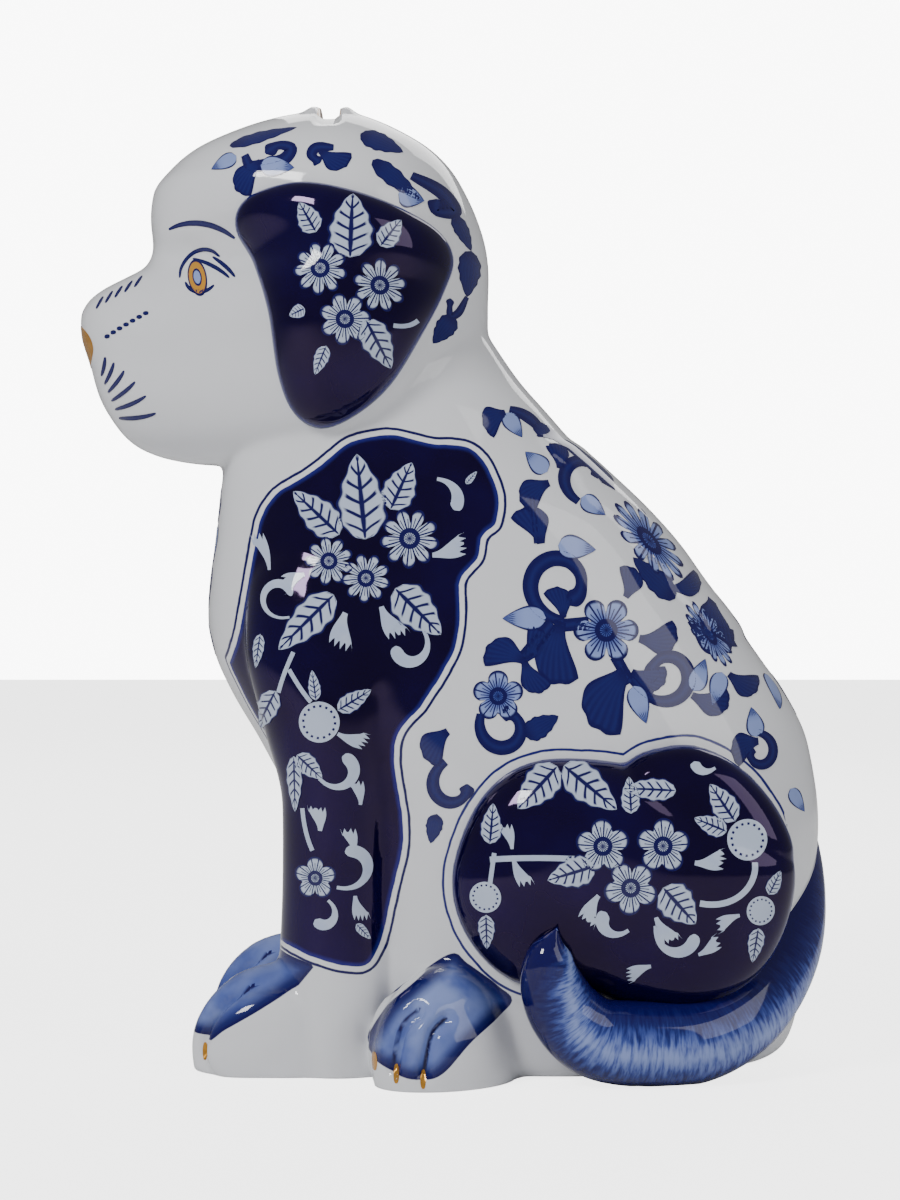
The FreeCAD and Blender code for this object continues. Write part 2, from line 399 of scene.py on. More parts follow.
# where the potter presses a line into the soft clay: depth and half width of the groove
grooves = {
    "depth": 2.6,
    "width": 1.3,
    "foreToes": (-1, 0, 1),
    "foreSpacing": 7.2,
    "foreReach": (-70, -43, 3, 22),
    "hindLines": [[(-7, 18), (-11, 14), (-13, 5)], [(-1, 16), (-4, 13), (-6, 4)]],
}
crease = {
    # the raised strip of hair down the back, seen from the side
    "line": [(15, 155), (24, 145), (33, 134), (46, 121), (56, 109), (64, 99)],
    "height": 0.8,
    "edge": 1.4,
    "scallop": {"depth": 0.8, "pace": 0.55},
    "fadeIn": (100, 104),
    "fadeOut": (150, 146),
}
eyeClay = {
    "centre": (-59, 186),
    "height": 1.6,
    "size": (5, 6.5),
    "brow": [(-68, 198), (-60, 197), (-52, 192)],
    "browHeight": 0.8,
    "browWidth": 3.0,
}
coinSlot = {"x": -29.0, "width": 5.0, "length": 36.0, "lip": 1.2, "lipWidth": 1.9, "dip": 1.6}


def signedDistance(x, z, outline):
    # distance to a closed outline, positive inside it
    p = np.asarray(outline, dtype=float)
    q = np.roll(p, -1, axis=0)
    best = np.full(len(x), 1e9)
    inside = np.zeros(len(x), dtype=bool)
    for (ax, az), (bx, bz) in zip(p, q):
        best = np.minimum(best, segmentDistance(x, z, ax, az, bx, bz))
        crosses = (az > z) != (bz > z)
        with np.errstate(divide="ignore", invalid="ignore"):
            inside ^= crosses & (x < (bx - ax) * (z - az) / (bz - az) + ax)
    return np.where(inside, best, -best)


def segmentDistance(x, z, ax, az, bx, bz):
    length = max((bx - ax) ** 2 + (bz - az) ** 2, 1e-9)
    t = np.clip(((x - ax) * (bx - ax) + (z - az) * (bz - az)) / length, 0, 1)
    return np.hypot(x - ax - t * (bx - ax), z - az - t * (bz - az))


def lineDistance(x, z, line):
    best = np.full(len(x), 1e9)
    for (ax, az), (bx, bz) in zip(line[:-1], line[1:]):
        best = np.minimum(best, segmentDistance(x, z, ax, az, bx, bz))
    return best


def carve(skin):
    # toes, spine, brows and the slot's lip are worked on the surface, along its normals
    points = readPoints(skin)
    normals = readNormals(skin)
    x, y, z = points.T
    side = np.abs(y)
    lift = np.zeros(len(x))

    _, high, bottom, top = grooves["foreReach"]
    here = smoothStep(high + 3, high, x) * smoothStep(bottom - 2, bottom + 2, z) * smoothStep(
        top, top - 5, z,
    )
    for toe in grooves["foreToes"]:
        away = side - foreleg["paw"]["centre"][1] - toe * grooves["foreSpacing"]
        lift -= grooves["depth"] * here * np.exp(-((away / grooves["width"]) ** 2))
    here = smoothStep(34, 38, side) * smoothStep(16, 10, x)
    for line in grooves["hindLines"]:
        away = lineDistance(x, z, smoothLine(line, 24))
        lift -= grooves["depth"] * here * np.exp(-((away / grooves["width"]) ** 2))

    line = smoothLine(crease["line"], 60)
    along = np.interp(-z, -line[:, 1], line[:, 0])
    scallop = crease["scallop"]["depth"] * np.sin(z * crease["scallop"]["pace"])
    ends = smoothStep(*crease["fadeIn"], z) * smoothStep(*crease["fadeOut"], z)
    lift += crease["height"] * ends * smoothStep(
        -crease["edge"] / 2, crease["edge"] / 2, x - along - scallop,
    )

    ex, ez = eyeClay["centre"]
    sx, sz = eyeClay["size"]
    lift += eyeClay["height"] * np.exp(-(((x - ex) / sx) ** 2 + ((z - ez) / sz) ** 2)) * smoothStep(
        10, 20, side,
    )
    brow = lineDistance(x, z, smoothLine(eyeClay["brow"], 24))
    lift += eyeClay["browHeight"] * np.exp(-((brow / eyeClay["browWidth"]) ** 2)) * smoothStep(6, 12, side)

    points += normals * lift[:, None]
    edge = np.abs(x - coinSlot["x"]) - coinSlot["width"] / 2
    across = smoothStep(coinSlot["length"] / 2 + 1, coinSlot["length"] / 2 - 2, side) * smoothStep(
        216, 220, z,
    )
    points[:, 2] += coinSlot["lip"] * across * np.exp(-(((edge - 1.6) / coinSlot["lipWidth"]) ** 2))
    dip = smoothStep(0.6, -0.6, edge) * smoothStep(12, 16, side) * smoothStep(30, 24, side) * (z > 210)
    points[:, 2] -= coinSlot["dip"] * dip
    points[:, 2] = np.maximum(points[:, 2], 0.05)
    writePoints(skin, points)


print("scene: pressing the clay")
skin = buildClay()
fuseClay(skin, 1.0, 14)
carve(skin)
applyModifier(skin, "SMOOTH", factor=0.4, iterations=1)
print("scene: skin has", len(skin.data.polygons), "faces")


ear = {
    "outline": [
        (-34.9, 206.6), (-23.1, 204.6), (-11.3, 200.7), (-2.5, 196), (0.9, 190.0), (-1.4, 182.0),
        (-5.8, 173.0), (-13.3, 160.4), (-21.5, 153.0), (-29.8, 149.8), (-36.2, 153.2), (-39.9, 162.0),
        (-42.2, 176.9), (-46, 188.6), (-50, 196), (-49.5, 201), (-45, 204.5),
    ],
    "centre": (-23, 185),
    "thickness": 6.0,
    "power": 4.5,
}
haunch = {
    "outline": [
        (20.3, 73.6), (32, 73.8), (43, 71.8), (54, 66.0), (66, 60.0), (76.5, 54.0), (79, 46.3),
        (75.9, 33), (68.5, 22.6), (56, 16.6), (42, 17.4), (30, 21), (18, 21.5), (8.7, 26.7), (2, 36.5),
        (0.4, 48), (4.7, 61.1), (11.5, 69.6),
    ],
    "centre": (40, 46),
    "thickness": 12.5,
    "power": 3.2,
}
haunchLobe = {
    "outline": [
        (41.4, 73.9), (48, 76.4), (55.5, 76.9), (63.3, 73.9), (70.5, 68.0), (76, 60.2), (78.6, 52),
        (76, 42), (62, 36), (46, 40), (36, 52), (34, 66),
    ],
    "centre": (58, 57),
    "thickness": 9.0,
    "power": 3.4,
}
tail = {
    # x, y, z, radius: from the rump, round the left haunch to the curled tip
    "line": [
        (78, 16, 66, 5), (82, 4, 54, 7.5), (82, -10, 40, 8.8), (78, -24, 27, 9.6), (69, -37, 16, 10),
        (57, -46, 10, 10), (44, -50, 9.4, 9.8), (33, -52, 11, 9.2), (26, -53.5, 17, 8.4),
        (22.5, -56.5, 25, 6.9), (22.5, -58.5, 32, 4.6), (24, -59, 37, 1.8),
    ],
}


def withDepthFrom(tree, side, fallback):
    def base(x, z):
        depth = sideDepth(tree, x, z, side)
        return np.where(np.isnan(depth), side * fallback, depth)
    return base


skinTree = treeOf(skin)

print("scene: laying on ears, haunches and tail")
ears, haunches = {}, {}
for side, name in ((-1, "left"), (1, "right")):
    ears[side] = pillow(
        name + "_ear_flap", ear["outline"], ear["centre"], withDepthFrom(skinTree, side, 20),
        ear["thickness"], ear["power"], side,
    )
    planar = lambda x, z: np.full(len(x), side * 45.5)
    main = pillow(
        "haunch_main", haunch["outline"], haunch["centre"], planar, haunch["thickness"], haunch["power"],
        side,
    )
    lobe = pillow(
        "haunch_lobe", haunchLobe["outline"], haunchLobe["centre"], planar, haunchLobe["thickness"],
        haunchLobe["power"], side,
    )
    haunches[side] = joinPieces(name + "_haunch_dome", [main, lobe])
    fuseClay(haunches[side], 0.8, 5)
tailRoll = roll("tail_roll", tail["line"])
outwards(tailRoll)
points = readPoints(tailRoll)
points[:, 2] = np.maximum(points[:, 2], 0.05)
writePoints(tailRoll, points)

for piece in [tailRoll, *ears.values(), *haunches.values()]:
    activate(piece)
    bpy.ops.object.shade_smooth()


print("scene: cutting the clay into its castings")
cuts = {
    # the seams between castings, all hidden under the glaze
    "neck": {"point": (-70, 139), "lean": 24},
    "legTop": 95, "legBack": -11, "legInner": 12,
    "pawTop": 31, "pawBack": 15, "pawInner": 34,
    "baseTop": 8,
}
hollows = {
    "head": {"centre": (-32, 0, 186), "radii": (34, 30, 33)},
    "belly": {"centre": (28, 0, 62), "radii": (42, 36, 50)},
    "stopperX": 27, "stopperRadius": 19, "seatRadius": 24, "seatDepth": 3.5,
}
skinNormals = readNormals(skin)
skinPoints = readPoints(skin)


def block(low, high, lean=0, pivot=(0, 0, 0)):
    deselectAll()
    bpy.ops.mesh.primitive_cube_add(size=1)
    piece = bpy.context.active_object
    p = readPoints(piece) * mm + 0.5
    p = np.array(low) + p * (np.array(high) - np.array(low))
    turn = np.array(Matrix.Rotation(math.radians(-lean), 3, "Y"))
    writePoints(piece, (p - np.array(pivot)) @ turn.T + np.array(pivot))
    return piece


def rod(x, low, high, radius):
    deselectAll()
    bpy.ops.mesh.primitive_cylinder_add(vertices=96, radius=radius * mm, depth=(high - low) * mm)
    piece = bpy.context.active_object
    writePoints(piece, readPoints(piece) + np.array([x, 0, (low + high) / 2]))
    return piece


def combine(piece, cutter, operation, keep=False):
    applyModifier(piece, "BOOLEAN", object=cutter, operation=operation, solver="MANIFOLD")
    if not keep:
        bpy.data.objects.remove(cutter)


def splitOff(body, cutter, name):
    part = copyPiece(body, name)
    combine(part, cutter, "INTERSECT", keep=True)
    combine(body, cutter, "DIFFERENCE")
    return part


def borrowNormals(piece, tree, points, normals, mesh, reach=0.2):
    # a cut piece or a painted mark shades exactly as the whole skin does
    faces = [tuple(face.vertices) for face in mesh.polygons]
    own = readPoints(piece)
    found = np.zeros((len(own), 3))
    near = np.zeros(len(own), dtype=bool)
    for i, point in enumerate(own):
        place, flat, index, away = tree.find_nearest(Vector(point))
        if index is None or away > reach:
            continue
        corners = faces[index]
        weights = poly_3d_calc([Vector(points[k]) for k in corners], place)
        found[i] = sum(w * normals[k] for w, k in zip(weights, corners))
        near[i] = True
    piece.data.polygons.foreach_set("use_smooth", np.ones(len(piece.data.polygons), dtype=bool))
    loops = np.empty(len(piece.data.loops), dtype=int)
    piece.data.loops.foreach_get("vertex_index", loops)
    result = found[loops]
    starts = np.empty(len(piece.data.polygons), dtype=int)
    totals = np.empty(len(piece.data.polygons), dtype=int)
    piece.data.polygons.foreach_get("loop_start", starts)
    piece.data.polygons.foreach_get("loop_total", totals)
    flat = np.empty(len(piece.data.polygons) * 3)
    piece.data.polygons.foreach_get("normal", flat)
    flat = np.repeat(flat.reshape(-1, 3), totals, axis=0)
    outer = near[loops] & (np.einsum("ij,ij->i", result, flat) > 0.3)
    result[~outer] = flat[~outer]
    result /= np.maximum(np.linalg.norm(result, axis=1), 1e-9)[:, None]
    piece.data.normals_split_custom_set(result.tolist())


castings = {}
trunk = copyPiece(skin, "torso_shell")
px, pz = cuts["neck"]["point"]
headCutter = block((-200, -150, pz), (200, 150, pz + 200), cuts["neck"]["lean"], (px, 0, pz))
castings["head_casting"] = splitOff(trunk, headCutter, "head_shell")
combine(
    castings["head_casting"], ellipsoid("hollow", hollows["head"]["centre"], hollows["head"]["radii"]),
    "DIFFERENCE",
)
slotX, slotHalf = coinSlot["x"], coinSlot["width"] / 2
slotCutter = block(
    (slotX - slotHalf, -coinSlot["length"] / 2, 205), (slotX + slotHalf, coinSlot["length"] / 2, 250),
)
combine(castings["head_casting"], slotCutter, "DIFFERENCE")
for side, name in ((-1, "left"), (1, "right")):
    spans = sorted((side * cuts["legInner"], side * 90))
    legCutter = block((-90, spans[0], -5), (cuts["legBack"], spans[1], cuts["legTop"]))
    castings[name + "_foreleg"] = splitOff(trunk, legCutter, name + "_foreleg_cast")
    spans = sorted((side * cuts["pawInner"], side * 90))
    pawCutter = block((cuts["legBack"] - 30, spans[0], -5), (cuts["pawBack"], spans[1], cuts["pawTop"]))
    castings[name + "_hind_paw"] = splitOff(trunk, pawCutter, name + "_hind_paw_cast")
combine(trunk, ellipsoid("hollow", hollows["belly"]["centre"], hollows["belly"]["radii"]), "DIFFERENCE")
slab = splitOff(trunk, block((-100, -100, -5), (120, 100, cuts["baseTop"])), "base_disc")
combine(slab, rod(hollows["stopperX"], -2, 20, hollows["stopperRadius"]), "DIFFERENCE")
combine(slab, rod(hollows["stopperX"], -2, hollows["seatDepth"], hollows["seatRadius"]), "DIFFERENCE")
castings["base_slab"] = slab
castings["torso_casting"] = trunk
for node, piece in castings.items():
    borrowNormals(piece, skinTree, skinPoints, skinNormals, skin.data)
    print("scene:", piece.name, len(piece.data.polygons), "faces")

cartouche = {
    # the blue shoulder panel, seen from the side
    "outline": [
        (-24, 148), (-32, 142), (-37, 139), (-42, 136), (-46, 130), (-48, 121), (-50, 110), (-52, 101),
        (-56, 93), (-66, 80), (-66, 34), (-48, 30), (-40, 29), (-31, 26), (-20, 24), (-15, 29),
        (-12, 41), (-9, 56), (-11, 76), (-5, 85), (0, 93), (3, 99), (4, 107), (4, 114), (8, 119),
        (9, 124), (12, 127), (13, 134), (10, 142), (5, 147), (-4, 148), (-14, 150),
    ],
    "inner": 17,
}
pawWash = {
    "fore": [(-31, 26), (-35, 21), (-45, 15), (-52, 11), (-55, 8.5), (-66, 10), (-66, 36), (-45, 30)],
    "hind": [
        (0, 29), (-10, 22), (-15, 17), (-19, 9), (-14, 5), (-8, 3), (-2, 4), (5, 11), (14, 18), (11, 22),
        (4, 27),
    ],
    "hindInner": 34,
}


def setAttribute(piece, name, values):
    layer = piece.data.attributes.new(name, "FLOAT", "POINT")
    layer.data.foreach_set("value", np.asarray(values, dtype=float))


def markSkin(piece):
    # distances in millimetres from the painted edges, which the glaze turns into lines, and from the toe
    # grooves, which are darkened with painted shade
    x, y, z = readPoints(piece).T
    side = np.abs(y)
    panel = signedDistance(x, z, smoothLine(cartouche["outline"], 260, closed=True))
    setAttribute(piece, "panel", np.minimum(panel, side - cartouche["inner"]))
    domes = [
        signedDistance(x, z, smoothLine(shape["outline"], 160, closed=True)) for shape in (haunch, haunchLobe)
    ]
    setAttribute(piece, "haunchGap", np.where(side > 30, -np.maximum(*domes), 30))
    fore = np.where(x < -24, signedDistance(x, z, pawWash["fore"]), -9)
    hind = np.minimum(
        signedDistance(x, z, smoothLine(pawWash["hind"], 90, closed=True)), side - pawWash["hindInner"],
    )
    setAttribute(piece, "wash", np.maximum(fore, hind))
    # distance to the toe grooves, for the painted shade that darkens them
    furrowShade = np.full(len(x), 9.0)
    for toe in grooves["foreToes"]:
        away = np.abs(side - foreleg["paw"]["centre"][1] - toe * grooves["foreSpacing"])
        furrowShade = np.where((x < -43) & (z < 21) & (z > 4), np.minimum(furrowShade, away), furrowShade)
    for line in grooves["hindLines"]:
        furrowShade = np.where(side > 36, np.minimum(furrowShade, lineDistance(x, z, smoothLine(line, 24))), furrowShade)
    setAttribute(piece, "furrowShade", furrowShade)


for piece in castings.values():
    markSkin(piece)
for side in (-1, 1):
    x, y, z = readPoints(ears[side]).T
    setAttribute(ears[side], "rim", signedDistance(x, z, smoothLine(ear["outline"], 240, closed=True)))
    x, y, z = readPoints(haunches[side]).T
    outline = smoothLine(haunch["outline"], 240, closed=True)
    lobeRim = signedDistance(x, z, smoothLine(haunchLobe["outline"], 160, closed=True))
    setAttribute(haunches[side], "rim", np.maximum(signedDistance(x, z, outline), lobeRim))

# painted marks: each is a small grid bent to its outline in the flat, then laid on the clay

brush = {"lift": 0.07, "cell": 0.6, "fineCell": 0.45, "fanSpread": 1.22, "scrollWeight": 1.3}


def sheet(columns, rows):
    deselectAll()
    bpy.ops.mesh.primitive_grid_add(x_subdivisions=columns, y_subdivisions=rows, size=mm)
    piece = bpy.context.active_object
    p = readPoints(piece)
    return piece, np.clip(p[:, 0] + 0.5, 0, 1), np.clip(p[:, 1] * 2, -1, 1)


def frameOf(start, end):
    a, b = np.array(start, dtype=float), np.array(end, dtype=float)
    length = np.linalg.norm(b - a)
    along = (b - a) / length
    return a, along, np.array([-along[1], along[0]]), length


def petalSheet(start, end, half, kind):
    # leaves, buds and fans share one grid, only their width along the way differs
    a, along, across, length = frameOf(start, end)
    cell = brush["fineCell"] if kind == "tuft" else brush["cell"]
    piece, u, v = sheet(max(8, int(length / cell)), max(4, int(half * 2 / cell)))
    if kind == "leaf":
        width = half * np.clip(np.sin(math.pi * u**0.75), 0, 1) ** 0.7 * (1 + 0.07 * np.cos(u * 28)) * (
            1.06 - 0.25 * u
        )
        reach = u * length
    elif kind == "bud":
        width = half * np.clip(np.sin(math.pi * u**0.7), 0, 1) ** 0.8 * (1.05 - 0.3 * u)
        reach = u * length
    else:
        width = half * (0.2 + 0.8 * smoothStep(-0.25, 0.95, u) ** 1.7)
        width *= brush["fanSpread"] if kind == "fan" else 1
        teeth = 0.02 * np.cos(v * 9) * u**4 if kind == "fan" else 0.17 * np.cos(v * 13) * u**3
        reach = u * length * (1 + v**2 * (-0.22 if kind == "fan" else -0.05) + teeth)
    bend = {"fan": 0.22, "tuft": 0.3}.get(kind, 0) * length * u**2
    flat = a + along * reach[:, None] + across * (width * v + bend)[:, None]
    return piece, flat


def discSheet(centre, radius, petals, turn):
    piece, u, v = sheet(7, 72)
    angle = v * math.pi
    wave = np.abs(np.cos(angle * petals / 2)) ** 0.45 if petals else np.ones_like(angle)
    reach = radius * u * (1 - 0.5 * (1 - wave) * smoothStep(0.3, 1, u))
    spin = angle + math.radians(turn)
    flat = np.array(centre) + np.stack([np.cos(spin) * reach, np.sin(spin) * reach], 1)
    layer = piece.data.uv_layers[0].data
    uv = np.empty(len(layer) * 2)
    layer.foreach_get("uv", uv)
    uv = uv.reshape(-1, 2) * np.array([1, max(petals, 16)])
    layer.foreach_set("uv", uv.ravel())
    return piece, flat


def lineSheet(points, width, kind):
    # a brush line: hooks start thin and end round, scrolls swell and end in a drop, vines stay even
    length = np.linalg.norm(np.diff(np.array(points, dtype=float), axis=0), axis=1).sum()
    count = max(16, int(length / 0.45))
    piece, u, v = sheet(count, 2)
    line = smoothLine(points, count + 1)
    tangent = np.gradient(line, axis=0)
    tangent /= np.maximum(np.linalg.norm(tangent, axis=1), 1e-9)[:, None]
    at = u * count
    pick = lambda data: np.stack([np.interp(at, np.arange(count + 1), data[:, k]) for k in range(2)], 1)
    if kind == "hook":
        swell = 0.35 + 0.9 * smoothStep(0, 0.85, u)
        swell *= np.sqrt(np.clip(1 - (np.clip(u - 0.88, 0, 1) / 0.12) ** 2, 0.02, 1))
    elif kind == "scroll":
        swell = 0.75 + 0.6 * np.sin(math.pi * np.clip(u * 1.1, 0, 1)) + 0.75 * np.exp(
            -(((u - 0.93) / 0.06) ** 2),
        )
        swell *= np.sqrt(np.clip((1 - u) / 0.05, 0.05, 1)) * brush["scrollWeight"]
    elif kind == "vine":
        swell = np.ones_like(u)
    else:
        swell = 0.3 + 0.7 * np.sqrt(np.clip(np.sin(math.pi * u), 0, 1))
    side = pick(tangent)
    normal = np.stack([-side[:, 1], side[:, 0]], 1)
    return piece, pick(line) + normal * (v * swell * width / 2)[:, None]


views = {
    # how a flat drawing is laid on the clay: where the look comes from, and the drawing's two directions
    "side": lambda flat, side: (flat[:, 0], np.full(len(flat), side * 200.0), flat[:, 1], (0, -side, 0)),
    "back": lambda flat, side: (np.full(len(flat), 250.0), side * flat[:, 0], flat[:, 1], (-1, 0, 0)),
    "front": lambda flat, side: (np.full(len(flat), -250.0), side * flat[:, 0], flat[:, 1], (1, 0, 0)),
}


def lay(piece, flat, view, side, tree):
    x, y, z, look = views[view](flat, side)
    points = np.empty((len(flat), 3))
    missed = np.zeros(len(flat), dtype=bool)
    for i in range(len(flat)):
        place, normal, _, _ = tree.ray_cast(Vector((x[i], y[i], z[i])), Vector(look))
        if place is None:
            missed[i] = True
        else:
            points[i] = place + normal * brush["lift"]
    if missed.any():
        bpy.data.objects.remove(piece)
        return None
    writePoints(piece, points)
    return piece


def makeMark(entry):
    kind = entry[0]
    if kind in ("leaf", "bud", "fan", "tuft"):
        return petalSheet(entry[1], entry[2], entry[3], kind)
    if kind == "flower":
        return discSheet(entry[1], entry[2], entry[3], entry[4])
    if kind == "slantFlower":
        # a bloom seen edge on: squeezed across a heading
        piece, flat = discSheet((0, 0), entry[2], entry[3], 15)
        turn = math.radians(entry[4])
        across = flat @ np.array([-math.sin(turn), math.cos(turn)])
        shift = np.outer(across * (entry[5] - 1), [-math.sin(turn), math.cos(turn)])
        return piece, flat + shift + np.array(entry[1])
    if kind == "berry":
        return discSheet(entry[1], entry[2], 0, 0)
    if kind == "disc":
        piece, flat = discSheet((0, 0), entry[2], 0, 0)
        flat = flat * np.array([entry[3], 1])
        flat[:, 0] -= entry[4] * flat[:, 1]
        return piece, flat + np.array(entry[1])
    return lineSheet(entry[1], entry[2], kind)


def polar(centre, heading, reach):
    turn = math.radians(heading)
    return (centre[0] + reach * math.cos(turn), centre[1] + reach * math.sin(turn))


def curl(start, heading, length, turn, width, kind="hook"):
    # a brush hook: it sets off at a heading and its bend tightens towards the end
    points = [start]
    for i in range(9):
        points.append(polar(points[-1], heading + turn * ((i + 0.5) / 9) ** 1.3, length / 9))
    return (kind, points, width)


def bouquet(centre, blooms=(), **sprays):
    # blooms round a middle, and sprays of leaves, tufts, fans or buds that point away from it
    marks = []
    for kind, rays in sprays.items():
        for heading, near, length, half in rays:
            marks.append((kind, polar(centre, heading, near), polar(centre, heading, near + length), half))
    for heading, near, radius, petals in blooms:
        marks.append(
            ("flower" if petals else "berry", polar(centre, heading, near), radius, petals, heading),
        )
    return marks


def arc(centre, radius, start, end, width):
    angles = np.linspace(start, end, 7)
    return ("stroke", [polar(centre, angle, radius) for angle in angles], width)


def paintMarks(name, marks, view, target, side, paints):
    # one painted layer: every mark takes the paint of its kind
    tree, points, normals, mesh = target
    byPaint = {}
    for entry in marks:
        piece, flat = makeMark(entry)
        piece = lay(piece, flat, view, side, tree)
        if piece is None:
            print("scene: no clay under a mark of", name, entry[0])
        else:
            byPaint.setdefault(paints[entry[0]], []).append(piece)
    done = []
    for paint, pieces in byPaint.items():
        for piece in pieces:
            piece.data.materials.clear()
            piece.data.materials.append(paint)
        done += pieces
    layer = joinPieces(name, done)
    outwards(layer)
    faceOut(layer, tree)
    applyModifier(layer, "SOLIDIFY", thickness=brush["lift"] * mm, offset=0)
    borrowNormals(layer, tree, points, normals, mesh, reach=1.0)
    return layer


def faceOut(layer, tree):
    # turns over any mark whose faces look into the clay
    mesh = layer.data
    work = bmesh.new()
    work.from_mesh(mesh)
    wrong = []
    for face in work.faces:
        _, normal, _, _ = tree.find_nearest(face.calc_center_median() / mm)
        if normal.dot(face.normal) < 0:
            wrong.append(face)
    bmesh.ops.reverse_faces(work, faces=wrong)
    work.to_mesh(mesh)
    work.free()

colours = {
    # linear colour values
    "body": (0.80, 0.81, 0.845),
    "ink": (0.006, 0.004, 0.085),
    "deep": (0.0015, 0.0002, 0.017),
    "deepLight": (0.003, 0.0006, 0.042),
    "rim": (0.012, 0.014, 0.16),
    "mid": (0.011, 0.014, 0.125),
    "light": (0.27, 0.35, 0.68),
    "wash": (0.055, 0.09, 0.36),
    "reserve": (0.51, 0.585, 0.74),
    "gold": (0.58, 0.27, 0.035),
    "rubber": (0.72, 0.72, 0.70),
    "sheen": (0.8, 0.55, 1.0),
}
glaze = {"roughness": 0.05, "specular": 0.4, "coat": 0.05, "coatRoughness": 0.03}


def calc(tree, operation, *values):
    node = tree.nodes.new("ShaderNodeMath")
    node.operation = operation
    for i, value in enumerate(values):
        if isinstance(value, (int, float)):
            node.inputs[i].default_value = value
        else:
            tree.links.new(value, node.inputs[i])
    return node.outputs[0]


def blend(tree, mask, low, high):
    node = tree.nodes.new("ShaderNodeMix")
    node.data_type = "RGBA"
    for index, value in ((0, mask), (6, low), (7, high)):
        if isinstance(value, tuple):
            node.inputs[index].default_value = (*value, 1)
        elif isinstance(value, (int, float)):
            node.inputs[index].default_value = value
        else:
            tree.links.new(value, node.inputs[index])
    return node.outputs[2]


def step(tree, value, edge, soft=0.08):
    # 0 under the edge and 1 over it, with a short soft change
    node = tree.nodes.new("ShaderNodeMapRange")
    node.interpolation_type = "SMOOTHSTEP"
    tree.links.new(value, node.inputs[0])
    node.inputs[1].default_value = edge - soft
    node.inputs[2].default_value = edge + soft
    return node.outputs[0]


def attribute(tree, name):
    node = tree.nodes.new("ShaderNodeAttribute")
    node.attribute_name = name
    return node.outputs["Fac"]


def newGroup(name, inputs, output):
    group = bpy.data.node_groups.new(name, "ShaderNodeTree")
    for label in inputs:
        kind = "NodeSocketVector" if label == "Vector" else "NodeSocketFloat"
        group.interface.new_socket(name=label, in_out="INPUT", socket_type=kind)
    group.interface.new_socket(name=output, in_out="OUTPUT", socket_type="NodeSocketFloat")
    return group, group.nodes.new("NodeGroupInput").outputs, group.nodes.new("NodeGroupOutput").inputs


def makeStain():
    # how unevenly the brush left the colour
    group, given, result = newGroup("brush_stain", ["Vector", "Scale"], "Mask")
    cloud = group.nodes.new("ShaderNodeTexNoise")
    cloud.inputs["Detail"].default_value = 3
    group.links.new(given["Vector"], cloud.inputs["Vector"])
    group.links.new(given["Scale"], cloud.inputs["Scale"])
    group.links.new(step(group, cloud.outputs["Fac"], 0.55, 0.22), result["Mask"])
    return group


def makeVeins():
    # a midrib with slanting side veins, and the inked edge
    group, given, result = newGroup("leaf_veins", ["Along", "Across", "Count"], "Mask")
    away = calc(group, "ABSOLUTE", given["Across"])
    rib = calc(group, "SUBTRACT", 1, step(group, away, 0.11, 0.04))
    slant = calc(group, "SUBTRACT", calc(group, "MULTIPLY", given["Along"], given["Count"]), away)
    wave = calc(group, "ABSOLUTE", calc(group, "SUBTRACT", calc(group, "FRACT", slant), 0.5))
    vein = calc(group, "SUBTRACT", 1, step(group, wave, 0.13, 0.05))
    vein = calc(group, "MULTIPLY", vein, calc(group, "SUBTRACT", 1, step(group, away, 0.72, 0.1)))
    edge = step(group, away, 0.87, 0.06)
    group.links.new(calc(group, "MAXIMUM", calc(group, "MAXIMUM", rib, vein), edge), result["Mask"])
    return group


def makePetals():
    # lines between petals, a short line up each petal and a ring round the heart
    group, given, result = newGroup("petal_lines", ["Out", "Turn"], "Mask")
    side = calc(group, "ABSOLUTE", calc(group, "SUBTRACT", calc(group, "FRACT", given["Turn"]), 0.5))
    width = calc(group, "DIVIDE", 0.085, calc(group, "ADD", given["Out"], 0.15))
    between = calc(group, "LESS_THAN", side, width)
    outer = step(group, given["Out"], 0.89, 0.05)
    ring = calc(group, "COMPARE", given["Out"], 0.27, 0.08)
    middle = calc(
        group, "GREATER_THAN", side, calc(group, "SUBTRACT", 0.5, calc(group, "MULTIPLY", width, 0.6)),
    )
    short = calc(group, "MULTIPLY", middle, calc(group, "COMPARE", given["Out"], 0.5, 0.2))
    lines = calc(
        group, "MAXIMUM", calc(group, "MAXIMUM", between, outer), calc(group, "MAXIMUM", ring, short),
    )
    group.links.new(lines, result["Mask"])
    return group


stainGroup, veinGroup, petalGroup = makeStain(), makeVeins(), makePetals()


def place(tree, group, **values):
    node = tree.nodes.new("ShaderNodeGroup")
    node.node_tree = group
    for label, value in values.items():
        if isinstance(value, (int, float)):
            node.inputs[label].default_value = value
        else:
            tree.links.new(value, node.inputs[label])
    return node.outputs[0]


def objectPlace(tree):
    return tree.nodes.new("ShaderNodeTexCoord").outputs["Object"]


def mottle(tree, scale):
    return place(tree, stainGroup, Vector=objectPlace(tree), Scale=scale)


def flatPlace(tree):
    # along the mark, and across it from -1 to 1
    split = tree.nodes.new("ShaderNodeSeparateXYZ")
    tree.links.new(tree.nodes.new("ShaderNodeUVMap").outputs[0], split.inputs[0])
    across = calc(tree, "SUBTRACT", calc(tree, "MULTIPLY", split.outputs[1], 2), 1)
    return split.outputs[0], across, split.outputs[1]


